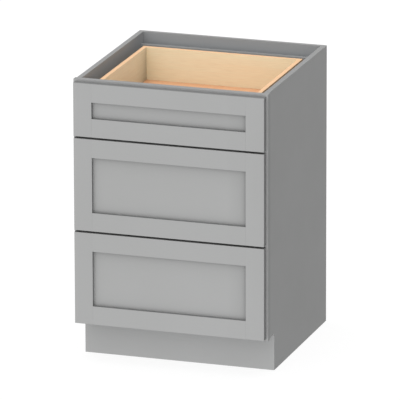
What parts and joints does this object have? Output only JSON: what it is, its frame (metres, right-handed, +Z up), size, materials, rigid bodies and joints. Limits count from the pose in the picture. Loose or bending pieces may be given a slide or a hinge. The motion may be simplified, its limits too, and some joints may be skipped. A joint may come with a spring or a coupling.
{
  "type": "kitchen base cabinet",
  "caption": "Framed kitchen base cabinet with shaker drawers on telescopic slides, a recessed toe kick and an open top for a worktop.",
  "frame": {"origin": "on the floor, at the middle of the width and of the depth over the drawer fronts", "axes": "+X to the right as seen from the front, +Y from the drawer fronts to the back, +Z up"},
  "size_m": [0.6096, 0.6206, 0.8763],
  "materials": {
    "grey_paint": "satin grey paint on wood and plywood",
    "maple": "clear satin lacquer on solid maple",
    "maple_plywood": "clear satin lacquer on plywood with a warm face veneer",
    "zinc_steel": "bright zinc-plated steel",
    "bumper": "clear soft plastic"
  },
  "bodies": {
    "case": {"left_side_panel": "grey_paint", "right_side_panel": "grey_paint", "back_panel": "grey_paint", "bottom_panel": "grey_paint", "back_stretcher": "grey_paint", "toe_kick_board": "grey_paint", "frame_left_stile": "grey_paint", "frame_right_stile": "grey_paint", "frame_top_rail": "grey_paint", "frame_upper_mid_rail": "grey_paint", "frame_lower_mid_rail": "grey_paint", "frame_bottom_rail": "grey_paint", "slide_cleats": "grey_paint", "slide_screws": "zinc_steel", "top_slide_cabinet_channels": "zinc_steel", "middle_slide_cabinet_channels": "zinc_steel", "bottom_slide_cabinet_channels": "zinc_steel"},
    "top_drawer": {"top_front_left_stile": "grey_paint", "top_front_right_stile": "grey_paint", "top_front_top_rail": "grey_paint", "top_front_bottom_rail": "grey_paint", "top_front_panel": "grey_paint", "top_front_bumpers": "bumper", "top_box_left_side": "maple", "top_box_right_side": "maple", "top_box_front": "maple", "top_box_back": "maple", "top_box_bottom": "maple_plywood", "top_drawer_screws": "zinc_steel", "top_slide_drawer_channels": "zinc_steel"},
    "top_slide_runners": {"top_slide_runners": "zinc_steel"},
    "middle_drawer": {"middle_front_left_stile": "grey_paint", "middle_front_right_stile": "grey_paint", "middle_front_top_rail": "grey_paint", "middle_front_bottom_rail": "grey_paint", "middle_front_panel": "grey_paint", "middle_front_bumpers": "bumper", "middle_box_left_side": "maple", "middle_box_right_side": "maple", "middle_box_front": "maple", "middle_box_back": "maple", "middle_box_bottom": "maple_plywood", "middle_drawer_screws": "zinc_steel", "middle_slide_drawer_channels": "zinc_steel"},
    "middle_slide_runners": {"middle_slide_runners": "zinc_steel"},
    "bottom_drawer": {"bottom_front_left_stile": "grey_paint", "bottom_front_right_stile": "grey_paint", "bottom_front_top_rail": "grey_paint", "bottom_front_bottom_rail": "grey_paint", "bottom_front_panel": "grey_paint", "bottom_front_bumpers": "bumper", "bottom_box_left_side": "maple", "bottom_box_right_side": "maple", "bottom_box_front": "maple", "bottom_box_back": "maple", "bottom_box_bottom": "maple_plywood", "bottom_drawer_screws": "zinc_steel", "bottom_slide_drawer_channels": "zinc_steel"},
    "bottom_slide_runners": {"bottom_slide_runners": "zinc_steel"}
  },
  "joints": [
    {"name": "top_drawer_slide", "type": "slide", "parent": "case", "child": "top_drawer", "axis": [0, -1, 0], "range_m": [0, 0.48]},
    {"name": "top_runner_slide", "type": "slide", "parent": "case", "child": "top_slide_runners", "axis": [0, -1, 0], "range_m": [0, 0.24]},
    {"name": "middle_drawer_slide", "type": "slide", "parent": "case", "child": "middle_drawer", "axis": [0, -1, 0], "range_m": [0, 0.48]},
    {"name": "middle_runner_slide", "type": "slide", "parent": "case", "child": "middle_slide_runners", "axis": [0, -1, 0], "range_m": [0, 0.24]},
    {"name": "bottom_drawer_slide", "type": "slide", "parent": "case", "child": "bottom_drawer", "axis": [0, -1, 0], "range_m": [0, 0.48]},
    {"name": "bottom_runner_slide", "type": "slide", "parent": "case", "child": "bottom_slide_runners", "axis": [0, -1, 0], "range_m": [0, 0.24]}
  ],
  "couplings": [
    {"joint": "top_runner_slide", "follows": "top_drawer_slide", "ratio": 0.5},
    {"joint": "middle_runner_slide", "follows": "middle_drawer_slide", "ratio": 0.5},
    {"joint": "bottom_runner_slide", "follows": "bottom_drawer_slide", "ratio": 0.5}
  ]
}
